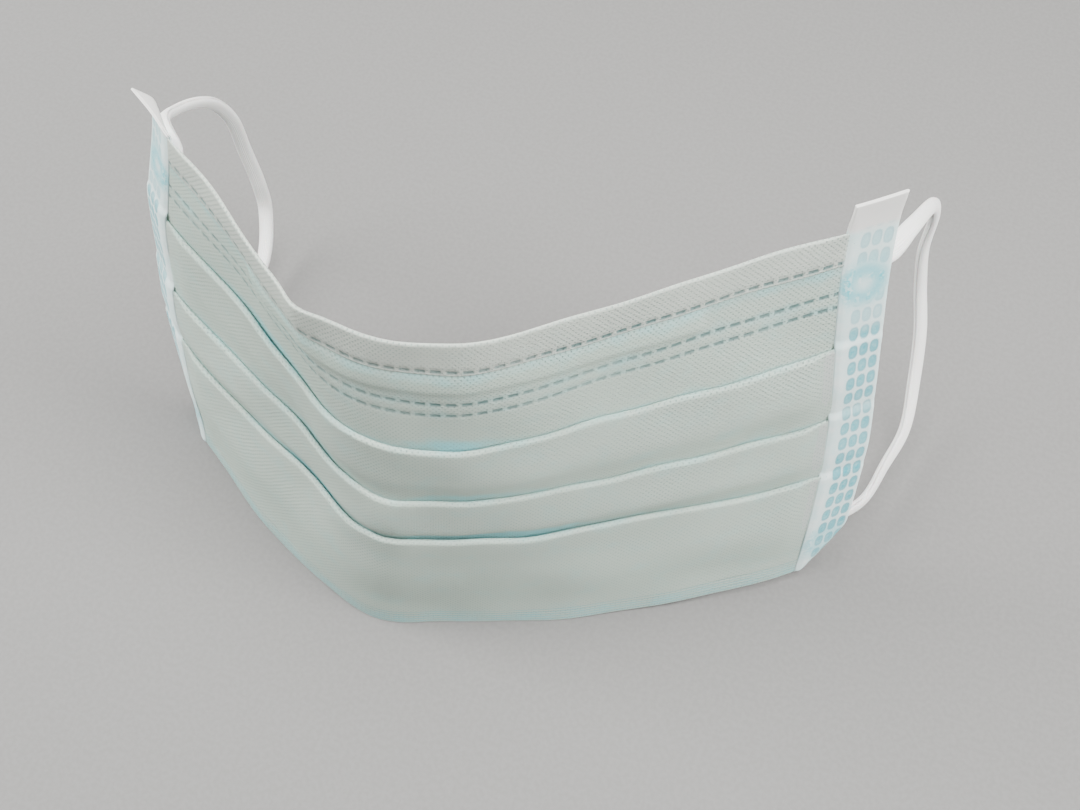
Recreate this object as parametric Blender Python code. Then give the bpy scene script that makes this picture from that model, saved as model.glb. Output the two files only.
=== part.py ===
"""Pleated three-ply face mask with ear loops, bent at the nose and standing on its bottom hem.

Frame: metres, +Z up, the outer (air) side faces -Y, the face side is hollow towards +Y.
The sheet is described by three lengths: s runs along the hem from the mask's left end (-X)
to its right end (+X), t runs down from the top edge, and n is the depth in front of the
outer ply's face. The left and right halves meet at the nose fold, where the mask bends.
"""
import math

import bmesh
import bpy
from mathutils import Matrix, Vector

MM = 0.001

# Sheet
WIDTH = 175 * MM
HEIGHT = 95 * MM
PLY = 0.3 * MM
GAP = 0.3 * MM
TOP_HEM = 6.0 * MM
BOTTOM_HEM = 4.5 * MM

# Pose of the bent sheet
FOLD_S = -18 * MM
FOLD_ANGLE = math.radians(44)
FOLD_REACH = 14 * MM
LEFT_TURN = math.radians(4)
RIGHT_TURN = math.radians(11)
TURN_REACH = 60 * MM
TIP_TURN = math.radians(4)
TIP_START = 55 * MM
CORNER_LIFT = 3.5 * MM
LIFT_START = 15 * MM
LEAN_REACH = 76 * MM
LEAN_BACK = {"left": 0.27, "middle": 0.23, "right": 0.355}
LEAN_SIDE = {"left": 0.0, "middle": -0.02, "right": -0.11}

# How the soft sheet has settled: it slides outwards at its ends, and bows forward or back
SLIDE_RIGHT = 6 * MM
SLIDE_RIGHT_START = 30 * MM
SLIDE_RIGHT_DEPTH = 64 * MM
SLIDE_LEFT = 6 * MM
SLIDE_LEFT_START = 55 * MM
SLIDE_LEFT_DEPTH = 48 * MM
SLIDE_LEFT_REACH = 32 * MM
BOWS = (  # s, t, reach along s, reach along t, step forward
    (-40 * MM, 0 * MM, 20 * MM, 22 * MM, 2.8 * MM),
    (-36 * MM, 50 * MM, 16 * MM, 20 * MM, -1.8 * MM),
    (-52 * MM, 33 * MM, 16 * MM, 20 * MM, -0.9 * MM),
    (-48 * MM, 95 * MM, 22 * MM, 22 * MM, 2.3 * MM),
    (62 * MM, 0 * MM, 28 * MM, 22 * MM, -0.9 * MM),
)
BOW_START = 15 * MM

# Knife pleats: how far each crease lies below the top edge, in the middle and at the ends
CREASES = {
    "middle": (29.5 * MM, 46.5 * MM, 59.5 * MM),
    "left": (24.5 * MM, 47 * MM, 62.5 * MM),
    "right": (27 * MM, 47 * MM, 64.5 * MM),
}
PLEAT_STEP = 1.0 * MM
PLEAT_RISE = 1.0 * MM

# Nose wire and the welt that it raises in the outer ply
WIRE_LENGTH = 100 * MM
WIRE_WIDTH = 3 * MM
WIRE_THICKNESS = 0.5 * MM
WIRE_DEPTH = 10.5 * MM
WELT_HEIGHT = 0.8 * MM
WELT_SLOPE = 1.5 * MM

# Side tapes, folded round the sheet's ends
TAPE_WIDTH = 9.6 * MM
TAIL_INNER = 6.5 * MM
TAIL_OUTER = 8.0 * MM
TAIL_CLOSE = 5 * MM

# Ear loops and the fused spots that hold their ends
LOOP_DIAMETER = 3.2 * MM
LOOP_STEP = 7.5 * MM
WELD_DIAMETER = 8.4 * MM
WELD_THICKNESS = 0.5 * MM
WELD_INSET = 4.8 * MM
WELD_UPPER = 12 * MM
WELD_LOWER = 85 * MM

# Loop routes between their two fused ends, in millimetres
LEFT_ROUTE = ((-84, 54, 81), (-86, 61, 76), (-87, 69, 70), (-88, 76, 62), (-89, 81, 51),
              (-90, 83, 38), (-89, 83, 25), (-88, 81, 15), (-85, 71, 8), (-83, 54, 6), (-79, 40, 8))
RIGHT_ROUTE = ((66, 81, 78), (69, 90, 76), (72, 101, 71), (74, 106, 62), (75, 106, 50),
               (78, 105, 38), (82, 101, 27), (85, 94, 17), (87, 84, 10), (85, 73, 9), (82, 61, 9))

# Room that each half leaves at the nose fold, so that it can open flat and close
FOLD_CLEARANCE = 0.3 * MM
FOLD_MITRE_FRONT = 0.55
FOLD_MITRE_BACK = 1.05

# How finely the shapes are stepped
HEM_STEP = 0.5 * MM
HEM_SPARE_STEPS = 20
FOLD_SECTIONS = (0, 0.25, 0.55, 1)
WING_SECTIONS = 8
CURVE_STEPS = 40
WELD_SIDES = 20

HALF = WIDTH / 2

# Depths of the plies behind the outer face, front to back
OUTER_BACK = -PLY
FILTER_FRONT = OUTER_BACK - GAP
INNER_FRONT = FILTER_FRONT - PLY - GAP
HEM_FRONT = INNER_FRONT - PLY - GAP
HEM_BACK = HEM_FRONT - PLY
TAPE_FRONT = PLY + 2 * GAP
TAPE_BACK = HEM_BACK - GAP
WELD_FRONT = TAPE_BACK - PLY - GAP
LOOP_AXIS = WELD_FRONT - WELD_THICKNESS - GAP - LOOP_DIAMETER / 2


def clamp(value, low=0.0, high=1.0):
    return max(low, min(high, value))


def smooth(value):
    """Ease from 0 to 1."""
    value = clamp(value)
    return value * value * (3 - 2 * value)


def bend(value):
    """Ease from -1 to 1, steepest in the middle."""
    value = clamp(value, -1.0, 1.0)
    return value * (3 - value * value) / 2


def heading(s):
    """Direction of the hem at s, seen from above."""
    turn = RIGHT_TURN if s > 0 else LEFT_TURN
    angle = FOLD_ANGLE / 2 * bend((s - FOLD_S) / FOLD_REACH)
    angle += turn * clamp(s / TURN_REACH, -1.0, 1.0)
    return angle + TIP_TURN * smooth((s - TIP_START) / (HALF - TIP_START))


def hem_table():
    """Plan of the hem every HEM_STEP, starting from the point at s = 0."""
    places = {0: (0.0, 0.0)}
    for side in (-1, 1):
        x = y = 0.0
        for k in range(1, int(HALF / HEM_STEP) + HEM_SPARE_STEPS):
            angle = heading(side * (k - 0.5) * HEM_STEP)
            x += side * HEM_STEP * math.cos(angle)
            y += side * HEM_STEP * math.sin(angle)
            places[side * k] = (x, y)
    return places


HEM = hem_table()


def rise(s):
    """Unit vector up the sheet at s."""
    blend = bend(s / LEAN_REACH)
    side = "right" if blend > 0 else "left"
    blend = abs(blend)
    back = LEAN_BACK["middle"] * (1 - blend) + LEAN_BACK[side] * blend
    across = LEAN_SIDE["middle"] * (1 - blend) + LEAN_SIDE[side] * blend
    return Vector((across, back, math.sqrt(1 - back * back - across * across)))


def outward(s):
    """Level vector to the front, scaled so that a step of n along it is n of thickness."""
    along = Vector((math.cos(heading(s)), math.sin(heading(s)), 0))
    up = rise(s)
    normal = along.cross(up).normalized()
    return normal - up * (normal.z / up.z)


def foot(s):
    """Point of the sheet's lower edge at s, from the middle of the hem's underside at s = 0."""
    k = math.floor(s / HEM_STEP)
    part = s / HEM_STEP - k
    x0, y0 = HEM[k]
    x1, y1 = HEM[k + 1]
    lift = CORNER_LIFT * clamp((s - LIFT_START) / (HALF - LIFT_START), 0.0, 2.0) ** 2
    point = Vector((x0 + (x1 - x0) * part, y0 + (y1 - y0) * part, lift))
    return point - outward(0) * HEM_BACK / 2


def slide(s, t):
    """How far the settled sheet has slid along the hem, outwards at both ends."""
    right = smooth((s - SLIDE_RIGHT_START) / (HALF - SLIDE_RIGHT_START))
    left = smooth((-s - SLIDE_LEFT_START) / (HALF - SLIDE_LEFT_START))
    left *= math.exp(-((t - SLIDE_LEFT_DEPTH) / SLIDE_LEFT_REACH) ** 2)
    return SLIDE_RIGHT * right * smooth(t / SLIDE_RIGHT_DEPTH) - SLIDE_LEFT * left


def bow(s, t):
    """How far the settled sheet stands forward, fading to nothing at the nose fold."""
    total = 0.0
    for middle_s, middle_t, reach_s, reach_t, forward in BOWS:
        away = ((s - middle_s) / reach_s) ** 2 + ((t - middle_t) / reach_t) ** 2
        total += forward * math.exp(-away)
    return total * smooth(abs(s - FOLD_S) / BOW_START)


def place(s, t, n):
    at = s + slide(s, t)
    return foot(at) + rise(at) * (HEIGHT - t) + outward(at) * (n + bow(s, t))


def creases(s):
    share = abs(s) / HALF
    end = CREASES["right" if s > 0 else "left"]
    return [a * (1 - share) + b * share for a, b in zip(CREASES["middle"], end)]


def pleat(s, t):
    """How far the pleated sheet stands forward: each panel starts proud and tapers back."""
    marks = creases(s) + [HEIGHT]
    for top, bottom in zip(marks, marks[1:]):
        start = top - PLEAT_RISE / 2
        if start < t <= top + PLEAT_RISE / 2:
            return PLEAT_STEP * (t - start) / PLEAT_RISE
        if top < t <= bottom:
            run = bottom - top - (PLEAT_RISE if bottom < HEIGHT else PLEAT_RISE / 2)
            return PLEAT_STEP * clamp(1 - (t - top - PLEAT_RISE / 2) / run)
    return 0.0


def welt(t):
    """Raised band over the nose wire."""
    away = abs(t - WIRE_DEPTH) - WIRE_WIDTH / 2 - WELT_SLOPE / 2
    return WELT_HEIGHT * smooth(1 - away / WELT_SLOPE)


def depths(s, first, last):
    """Depths below the top edge where the sheet's section needs a point."""
    marks = [first, last]
    edges = creases(s) + [last]
    for crease, after in zip(edges, edges[1:]):
        marks += [crease - PLEAT_RISE / 2, crease + PLEAT_RISE / 2, (crease + after) / 2]
    reach = WIRE_WIDTH / 2 + WELT_SLOPE * 1.5
    shoulder = WIRE_WIDTH / 2 + WELT_SLOPE / 2
    marks += [WIRE_DEPTH + k for k in (-reach, -shoulder, shoulder, reach)]
    marks.append((WIRE_DEPTH + reach + edges[0]) / 2)
    return sorted(marks)


def material(name, colour, roughness, metallic=0.0):
    made = bpy.data.materials.new(name)
    made.use_nodes = True
    shader = made.node_tree.nodes["Principled BSDF"]
    shader.inputs["Base Color"].default_value = (*colour, 1)
    shader.inputs["Roughness"].default_value = roughness
    shader.inputs["Metallic"].default_value = metallic
    made.diffuse_color = (*colour, 1)
    return made


def add_object(name, data, finish, parent):
    made = bpy.data.objects.new(name, data)
    made.data.materials.append(finish)
    bpy.context.scene.collection.objects.link(made)
    if parent:
        made.parent = parent
        made.matrix_parent_inverse = parent.matrix_world.inverted()
    return made


def lofted(name, rings, finish, parent):
    """Closed solid through rings of a strip's section: down one side of it, up the other."""
    shape = bmesh.new()
    loops = [[shape.verts.new(point) for point in ring] for ring in rings]
    count = len(loops[0])
    for a, b in zip(loops, loops[1:]):
        for k in range(count):
            after = (k + 1) % count
            # the same diagonal on both sides of the strip keeps its thickness even
            if k < count // 2:
                shape.faces.new((a[k], a[after], b[after]))
                shape.faces.new((a[k], b[after], b[k]))
            else:
                shape.faces.new((a[k], a[after], b[k]))
                shape.faces.new((a[after], b[after], b[k]))
    for loop in (loops[0], loops[-1]):
        for k in range(count // 2 - 1):
            shape.faces.new((loop[k], loop[k + 1], loop[count - 2 - k], loop[count - 1 - k]))
    bmesh.ops.recalc_face_normals(shape, faces=shape.faces)
    mesh = bpy.data.meshes.new(name)
    shape.to_mesh(mesh)
    shape.free()
    return add_object(name, mesh, finish, parent)


def stations(side):
    """Places along the hem where a half has a section, from the nose fold to its end."""
    end = HALF * side
    near = [FOLD_S + side * FOLD_REACH * share for share in FOLD_SECTIONS]
    run = end - near[-1]
    far = [near[-1] + run * k / WING_SECTIONS for k in range(1, WING_SECTIONS + 1)]
    return near + far


def half_sheet(name, side, section, finish, parent, end=None):
    """One half of a ply. section(s) gives the ring of (t, n) points at s."""
    rings = []
    for s in stations(side):
        if end is not None and side * s > side * end:
            s = end
        ring = []
        for t, n in section(s):
            here = s
            if s == FOLD_S:
                mitre = FOLD_MITRE_FRONT * n if n > 0 else -FOLD_MITRE_BACK * n
                here += side * (FOLD_CLEARANCE + mitre)
            ring.append(place(here, t, n))
        rings.append(ring)
        if s == end:
            break
    return lofted(name, rings, finish, parent)


def outer_section(s):
    """Outer ply: welted over the wire, its foot turned under and up behind the others."""
    marks = depths(s, PLY + GAP, HEIGHT)
    behind = HEM_BACK
    top_of_hem = HEIGHT - BOTTOM_HEM
    front = [(t, pleat(s, t) + welt(t)) for t in marks]
    front += [(HEIGHT, behind), (top_of_hem, behind)]
    inside = [(t, pleat(s, t) + welt(t) + OUTER_BACK) for t in marks[:-1]]
    inside += [(HEIGHT - PLY, OUTER_BACK), (HEIGHT - PLY, HEM_FRONT), (top_of_hem, HEM_FRONT)]
    return front + inside[::-1]


def filter_section(s):
    marks = depths(s, PLY + GAP, HEIGHT - PLY - GAP)
    front = [(t, pleat(s, t) + FILTER_FRONT) for t in marks]
    back = [(t, pleat(s, t) + FILTER_FRONT - PLY) for t in marks]
    return front + back[::-1]


def inner_section(s):
    """Inner ply: its top turned over the edge and down in front of the outer ply."""
    marks = depths(s, PLY, HEIGHT - PLY - GAP)
    front = GAP + PLY
    inside = [(TOP_HEM, GAP), (PLY, GAP)] + [(t, pleat(s, t) + INNER_FRONT) for t in marks]
    outside = [(TOP_HEM, front), (0, front), (0, INNER_FRONT - PLY)]
    outside += [(t, pleat(s, t) + INNER_FRONT - PLY) for t in marks[1:]]
    return inside + outside[::-1]


def wire_section(s):
    top = WIRE_DEPTH - WIRE_WIDTH / 2
    bottom = WIRE_DEPTH + WIRE_WIDTH / 2
    middle = (WELT_HEIGHT + OUTER_BACK + FILTER_FRONT) / 2
    front = middle + WIRE_THICKNESS / 2
    back = middle - WIRE_THICKNESS / 2
    return [(top, front), (bottom, front), (bottom, back), (top, back)]


def side_tape(name, side, finish, parent):
    """Binding tape: a channel folded round the sheet's end, its tail pressed flat on top."""
    end = side * (HALF + GAP)
    outer = end + side * PLY
    inner = side * (HALF - TAPE_WIDTH)
    marks = depths(side * HALF, 0, HEIGHT)
    tail = [-TAIL_INNER, -TAIL_CLOSE, -TAIL_CLOSE / 2]
    rings = []
    for t in tail + marks:
        close = smooth(-t / TAIL_CLOSE)
        step = pleat(side * HALF, t) if t > 0 else 0.0
        front = (TAPE_FRONT + step) * (1 - close) + close * (TAPE_BACK + GAP)
        slant = (TAIL_OUTER - TAIL_INNER) * clamp(-t / TAIL_INNER)
        outline = ((inner, front), (end, front), (end, TAPE_BACK), (inner, TAPE_BACK),
                   (inner, TAPE_BACK - PLY), (outer, TAPE_BACK - PLY), (outer, front + PLY),
                   (inner, front + PLY))
        rings.append([place(s, t - (slant if s != inner else 0), n) for s, n in outline])
    return lofted(name, rings, finish, parent)


def weld_place(side, depth, n=LOOP_AXIS):
    return place(side * (HALF - WELD_INSET), depth, n)


def loop_weld(name, side, depth, finish, parent):
    """Round spot where the loop's end is fused to the back of the tape."""
    front = weld_place(side, depth, WELD_FRONT)
    back = weld_place(side, depth, WELD_FRONT - WELD_THICKNESS)
    s = side * (HALF - WELD_INSET)
    along = Vector((math.cos(heading(s)), math.sin(heading(s)), 0))
    normal = along.cross(rise(s)).normalized()
    centre = (front + back) / 2
    turn = Vector((0, 0, 1)).rotation_difference(normal).to_matrix().to_4x4()
    shape = bmesh.new()
    bmesh.ops.create_cone(shape, cap_ends=True, segments=WELD_SIDES, radius1=WELD_DIAMETER / 2,
                          radius2=WELD_DIAMETER / 2, depth=WELD_THICKNESS,
                          matrix=Matrix.Translation(centre) @ turn)
    mesh = bpy.data.meshes.new(name)
    shape.to_mesh(mesh)
    shape.free()
    return add_object(name, mesh, finish, parent)


def through(points, spacing):
    """Evenly spaced points on a smooth curve through the given ones."""
    padded = [points[0] * 2 - points[1]] + points + [points[-1] * 2 - points[-2]]
    fine = []
    for a, b, c, d in zip(padded, padded[1:], padded[2:], padded[3:]):
        for k in range(CURVE_STEPS):
            u = k / CURVE_STEPS
            fine.append(0.5 * (2 * b + (c - a) * u + (2 * a - 5 * b + 4 * c - d) * u * u
                               + (3 * b - a - 3 * c + d) * u ** 3))
    fine.append(points[-1])
    lengths = [0.0]
    for a, b in zip(fine, fine[1:]):
        lengths.append(lengths[-1] + (b - a).length)
    count = max(2, round(lengths[-1] / spacing))
    spaced = []
    k = 0
    for step in range(count + 1):
        goal = lengths[-1] * step / count
        while k < len(fine) - 2 and lengths[k + 1] < goal:
            k += 1
        part = (goal - lengths[k]) / (lengths[k + 1] - lengths[k])
        spaced.append(fine[k].lerp(fine[k + 1], clamp(part)))
    return spaced


def ear_loop(name, side, route, finish, parent):
    """Elastic from the upper fused spot to the lower one."""
    points = [weld_place(side, WELD_UPPER)]
    points += [Vector(point) * MM for point in route]
    points.append(weld_place(side, WELD_LOWER))
    curve = bpy.data.curves.new(name, "CURVE")
    curve.dimensions = "3D"
    curve.bevel_depth = LOOP_DIAMETER / 2
    curve.bevel_resolution = 2
    curve.use_fill_caps = True
    spaced = through(points, LOOP_STEP)
    spline = curve.splines.new("POLY")
    spline.points.add(len(spaced) - 1)
    for target, point in zip(spline.points, spaced):
        target.co = (*point, 1)
    return add_object(name, curve, finish, parent)


def pivot(name, place_at, axis, parent=None):
    """Empty on a joint's axis, its own Z along it."""
    empty = bpy.data.objects.new(name, None)
    empty.empty_display_size = 10 * MM
    turn = Vector((0, 0, 1)).rotation_difference(axis).to_matrix().to_4x4()
    empty.matrix_world = Matrix.Translation(place_at) @ turn
    bpy.context.scene.collection.objects.link(empty)
    if parent:
        world = empty.matrix_world.copy()
        empty.parent = parent
        empty.matrix_parent_inverse = parent.matrix_world.inverted()
        empty.matrix_world = world
    bpy.context.view_layer.update()
    return empty


def build_half(label, side, route, finishes, parent):
    """Everything on one side of the nose fold."""
    half_sheet(f"outer_layer_{label}", side, outer_section, finishes["outer"], parent)
    half_sheet(f"filter_layer_{label}", side, filter_section, finishes["filter"], parent)
    half_sheet(f"inner_layer_{label}", side, inner_section, finishes["inner"], parent)
    half_sheet(f"nose_wire_{label}", side, wire_section, finishes["wire"], parent,
               end=side * WIRE_LENGTH / 2)
    side_tape(f"side_tape_{label}", side, finishes["tape"], parent)
    for level, depth in (("upper", WELD_UPPER), ("lower", WELD_LOWER)):
        loop_weld(f"loop_weld_{level}_{label}", side, depth, finishes["weld"], parent)
    low = weld_place(side, WELD_LOWER)
    high = weld_place(side, WELD_UPPER)
    swing = pivot(f"{label}_loop_pivot", (low + high) / 2, high - low, parent)
    ear_loop(f"ear_loop_{label}", side, route, finishes["loop"], swing)


def main():
    for old in list(bpy.data.objects):
        bpy.data.objects.remove(old, do_unlink=True)
    finishes = {
        "outer": material("outer_spunbond", (0.62, 0.82, 0.80), 0.75),
        "filter": material("meltblown", (0.90, 0.91, 0.90), 0.85),
        "inner": material("inner_spunbond", (0.88, 0.90, 0.88), 0.80),
        "wire": material("wire_coating", (0.85, 0.86, 0.86), 0.45),
        "tape": material("tape_nonwoven", (0.80, 0.86, 0.85), 0.70),
        "weld": material("fused_spot", (0.45, 0.68, 0.70), 0.50),
        "loop": material("elastic", (0.90, 0.90, 0.88), 0.80),
    }
    fold = pivot("nose_fold_pivot", place(FOLD_S, HEIGHT / 2, 0), rise(FOLD_S))
    build_half("left", -1, LEFT_ROUTE, finishes, None)
    build_half("right", 1, RIGHT_ROUTE, finishes, fold)


main()
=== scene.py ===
"""Looks of a pleated three-ply face mask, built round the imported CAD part.

The sheet is described as in the CAD: s runs along the hem from the left end to the right end,
t runs down from the top edge, and n is the depth in front of the CAD's outer face. The plies
are real folded layers: outer, filter and inner ply go through every pleat together.
"""

import math

import bpy
import numpy as np
from mathutils import Matrix, Vector


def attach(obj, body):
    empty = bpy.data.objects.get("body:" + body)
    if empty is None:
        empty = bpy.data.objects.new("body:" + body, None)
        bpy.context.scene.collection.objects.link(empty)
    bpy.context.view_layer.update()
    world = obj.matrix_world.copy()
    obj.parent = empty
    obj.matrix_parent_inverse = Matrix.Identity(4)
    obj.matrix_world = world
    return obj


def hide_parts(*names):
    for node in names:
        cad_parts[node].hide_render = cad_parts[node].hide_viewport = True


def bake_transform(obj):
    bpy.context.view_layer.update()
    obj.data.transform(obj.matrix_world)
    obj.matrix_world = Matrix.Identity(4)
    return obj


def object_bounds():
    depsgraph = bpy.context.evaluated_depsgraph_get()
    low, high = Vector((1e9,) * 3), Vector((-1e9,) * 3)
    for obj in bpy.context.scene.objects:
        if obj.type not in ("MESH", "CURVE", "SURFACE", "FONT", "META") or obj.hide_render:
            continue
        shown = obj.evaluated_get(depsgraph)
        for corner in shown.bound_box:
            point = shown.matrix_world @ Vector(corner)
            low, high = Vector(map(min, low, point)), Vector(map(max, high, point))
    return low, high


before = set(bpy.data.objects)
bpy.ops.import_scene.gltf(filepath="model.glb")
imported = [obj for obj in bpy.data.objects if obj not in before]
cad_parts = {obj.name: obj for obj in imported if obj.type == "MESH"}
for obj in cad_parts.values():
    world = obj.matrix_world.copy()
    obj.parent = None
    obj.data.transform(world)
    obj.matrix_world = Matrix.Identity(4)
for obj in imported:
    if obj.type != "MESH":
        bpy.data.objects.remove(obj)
CAD_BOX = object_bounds()

MM = 0.001

# ---- the CAD's sheet, pose and loops
WIDTH = 175 * MM
HEIGHT = 95 * MM
HALF = WIDTH / 2
FOLD_S = -18 * MM
FOLD_ANGLE = math.radians(44)
FOLD_REACH = 14 * MM
LEFT_TURN = math.radians(4)
RIGHT_TURN = math.radians(11)
TURN_REACH = 60 * MM
TIP_TURN = math.radians(4)
TIP_START = 55 * MM
CORNER_LIFT = 3.5 * MM
LIFT_START = 15 * MM
LEAN_REACH = 76 * MM
LEAN_BACK = {"left": 0.27, "middle": 0.23, "right": 0.355}
LEAN_SIDE = {"left": 0.0, "middle": -0.02, "right": -0.11}
HEM_BACK = -2.1 * MM
HEM_STEP = 0.5 * MM
HEM_MARGIN = 24  # steps of the plan past the ends of the hem
SLIDE_RIGHT = 6 * MM
SLIDE_RIGHT_START = 30 * MM
SLIDE_RIGHT_DEPTH = 64 * MM
SLIDE_LEFT = 6 * MM
SLIDE_LEFT_START = 55 * MM
SLIDE_LEFT_DEPTH = 48 * MM
SLIDE_LEFT_REACH = 32 * MM
BOWS = (  # s, t, reach along s, reach along t, step forward, all in mm
    (-40, 0, 20, 22, 2.8),
    (-36, 50, 16, 20, -1.8),
    (-52, 33, 16, 20, -0.9),
    (-48, 95, 22, 22, 2.3),
    (62, 0, 28, 22, -0.9),
)
CREASES = {
    "middle": (29.5 * MM, 46.5 * MM, 59.5 * MM),
    "left": (24.5 * MM, 47 * MM, 62.5 * MM),
    "right": (27 * MM, 47 * MM, 64.5 * MM),
}
WIRE_LENGTH = 100 * MM
WIRE_WIDTH = 3 * MM
WIRE_DEPTH = 10.5 * MM
TAPE_WIDTH = 9.6 * MM
WELD_INSET = 4.8 * MM
WELD_UPPER = 12 * MM
WELD_LOWER = 85 * MM
WELD_DIAMETER = 8.4 * MM
LEFT_ROUTE = ((-83, 54, 81), (-86, 61, 76), (-87, 69, 70), (-88, 76, 62), (-89, 81, 51),
              (-90, 83, 38), (-89, 83, 25), (-88, 81, 15), (-85, 71, 8), (-83, 54, 6), (-79, 40, 8))
RIGHT_ROUTE = ((66, 81, 78), (69, 90, 76), (72, 101, 71), (74, 106, 62), (75, 106, 50),
               (78, 105, 38), (82, 101, 27), (85, 94, 17), (87, 84, 10), (85, 73, 9), (82, 61, 9))

# ---- the soft detail on top of it
MID_N = -0.35 * MM  # middle of the laminate, behind the CAD's outer face
PLY_OFFSET = 0.20 * MM
PLY_HALF = 0.08 * MM
FOLD_R = 0.35 * MM
PLEAT_DEPTH = 9 * MM
PACKED = 0.45  # how far the tapes press the laminate together
PACKED_MORE = 0.2  # and more towards their outer folds
PACK_REACH = 6 * MM
POCKETS = (  # pleat, s, reach, opening, all in mm
    (0, -47, 12, 0.8), (0, 1, 9, 1.1),
    (1, -35, 13, 0.7), (1, 3, 12, 0.7),
    (2, -38, 16, 1.2), (2, 8, 26, 2.2),
)
POCKET_GAPE = 0.4
# strength of the painted cyan shade and glow in the gaping pockets
POCKET_SHADE = 0.95
POCKET_ABOVE = 0.8 * MM
POCKET_HALF = 1.5 * MM
POCKET_REACH = 12 * MM
GAPE_BACK = 0.3  # shares of the gape taken by the panel behind and by the pleat in front
GAPE_FORWARD = 0.7
FOLD_SHADE_REACH = 3 * MM  # the painted shade and glow of the folds comes in over this length
SETTLED_ABOVE = 6 * MM  # the last pleat's step has faded this far above the lower edge
FOLD_CLOSE = 5 * MM
SOFT_MIDDLE = 12 * MM
SOFT_LEAN = 0.12

DASH_ROWS = (  # depth in the middle, at the left end and at the right end
    (6.8 * MM, 5.7 * MM, 6.4 * MM),
    (15.9 * MM, 12.5 * MM, 13.0 * MM),
    (19.1 * MM, 15.7 * MM, 16.2 * MM),
)
DASH_PITCH = 3.0 * MM
DASH_LENGTH = 2.0 * MM
DASH_HALF = 0.4 * MM
DASH_EDGE = 0.15 * MM
DASH_DEPTH = 0.10 * MM
HEM_DASH_DEPTH = 0.16 * MM
HEM_BELOW_DASH = 0.75 * MM
HEM_LIFT = 0.18 * MM
WELT_HEIGHT = 0.45 * MM
WELT_SLOPE = 1.6 * MM
BOTTOM_HEM = 4.5 * MM
GROOVES = tuple(HEIGHT - depth * MM for depth in (4.4, 3.5, 2.6, 1.7, 0.8))
GROOVE_DEPTH = 0.15 * MM
GROOVE_HALF = 0.22 * MM
HEM_TURN = 0.40 * MM  # radius of the bottom hem's turned edge
LOWEST = HEIGHT - HEM_TURN  # where the plies end above that edge
ROWS_ABOVE_DASHES = (6, 10, 2)  # rows of points in each stretch of the laminate's section
ROWS_IN_PANEL = 12
ROWS_IN_FOLD = 5
ROWS_IN_HEM = 26
FOLD_TURNS = np.radians(np.linspace(-90, 90, 7))
FOLD_SHARES = (0.8, 0.6, 0.4, 0.2)

KINKS = (  # s, t, reach along s, reach along t, step forward, all in mm
    (-31, 0, 4.5, 14, 1.3),
    (-13, 53, 6, 9, 1.0),
    (18, 38, 16, 6, 0.5),
    (48, 56, 18, 5, 0.4),
    (-60, 78, 12, 9, 0.7),
    (30, 80, 22, 8, 0.5),
    (-70, 38, 9, 8, -0.5),
    (64, 36, 10, 7, 0.5),
)
RIPPLE_SMALL = 0.20 * MM
RIPPLE_BROAD = 0.35 * MM
CREASE_WANDER = 0.22 * MM
END_CURL_START = 77 * MM  # the left end is turned back a little under its tape
END_CURL_MOST = math.radians(16)
END_CURL_RADIUS = 15 * MM
DRIFT_LEFT = 4 * MM  # what the outer end of the left wing has crept outwards
DRIFT_START = 45 * MM
DRIFT_REACH = 32 * MM
DRIFT_DEPTH = 28 * MM
DRIFT_AT_TOP = 0.1
CORNERS = (  # s and t of a point on the crease line, its way to the corner, radius, greatest turn
    (77.5 * MM, 95 * MM, 0.832, 0.555, 4 * MM, math.radians(100)),
    (-80.5 * MM, 95 * MM, -0.832, 0.555, 6 * MM, math.radians(60)),
)


def smooth(value):
    """Ease from 0 to 1."""
    value = np.clip(value, 0, 1)
    return value * value * (3 - 2 * value)


def bend(value):
    """Ease from -1 to 1, steepest in the middle."""
    value = np.clip(value, -1, 1)
    return value * (3 - value * value) / 2


def soft_size(value, full, soft):
    """Size of the value as a share of full, rounded over near 0 instead of coming to a corner."""
    return (np.hypot(value, soft) - soft) / (math.hypot(full, soft) - soft)


def heading(s):
    """Direction of the hem at s, seen from above."""
    s = np.asarray(s, float)
    angle = FOLD_ANGLE / 2 * bend((s - FOLD_S) / FOLD_REACH)
    angle = angle + np.where(s > 0, RIGHT_TURN, LEFT_TURN) * np.clip(s / TURN_REACH, -1, 1)
    return angle + TIP_TURN * smooth((s - TIP_START) / (HALF - TIP_START))


def hem_plan():
    """Plan of the hem: s, x and y of points along it."""
    steps = np.arange(1, int(HALF / HEM_STEP) + HEM_MARGIN)
    ends = []
    for side in (-1, 1):
        angle = heading(side * (steps - 0.5) * HEM_STEP)
        ends.append((side * steps * HEM_STEP, side * HEM_STEP * np.cumsum(np.cos(angle)),
                     side * HEM_STEP * np.cumsum(np.sin(angle))))
    return [np.concatenate((a[::-1], [0.0], b)) for a, b in zip(*ends)]


HEM_S, HEM_X, HEM_Y = hem_plan()


def rise(s):
    """Unit vector up the sheet at s."""
    lean = bend(s / LEAN_REACH)
    share = soft_size(lean, 1.0, SOFT_LEAN)
    parts = []
    for table in (LEAN_SIDE, LEAN_BACK):
        end = np.where(lean > 0, table["right"], table["left"])
        parts.append(table["middle"] * (1 - share) + end * share)
    across, back = parts
    return np.stack((across, back, np.sqrt(1 - back * back - across * across)), -1)


def outward(s):
    """Level vector to the front, scaled so that a step of n along it is n of thickness."""
    angle = heading(s)
    along = np.stack((np.cos(angle), np.sin(angle), np.zeros_like(angle)), -1)
    up = rise(s)
    normal = np.cross(along, up)
    normal /= np.linalg.norm(normal, axis=-1, keepdims=True)
    return normal - up * (normal[..., 2:] / up[..., 2:])


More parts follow.
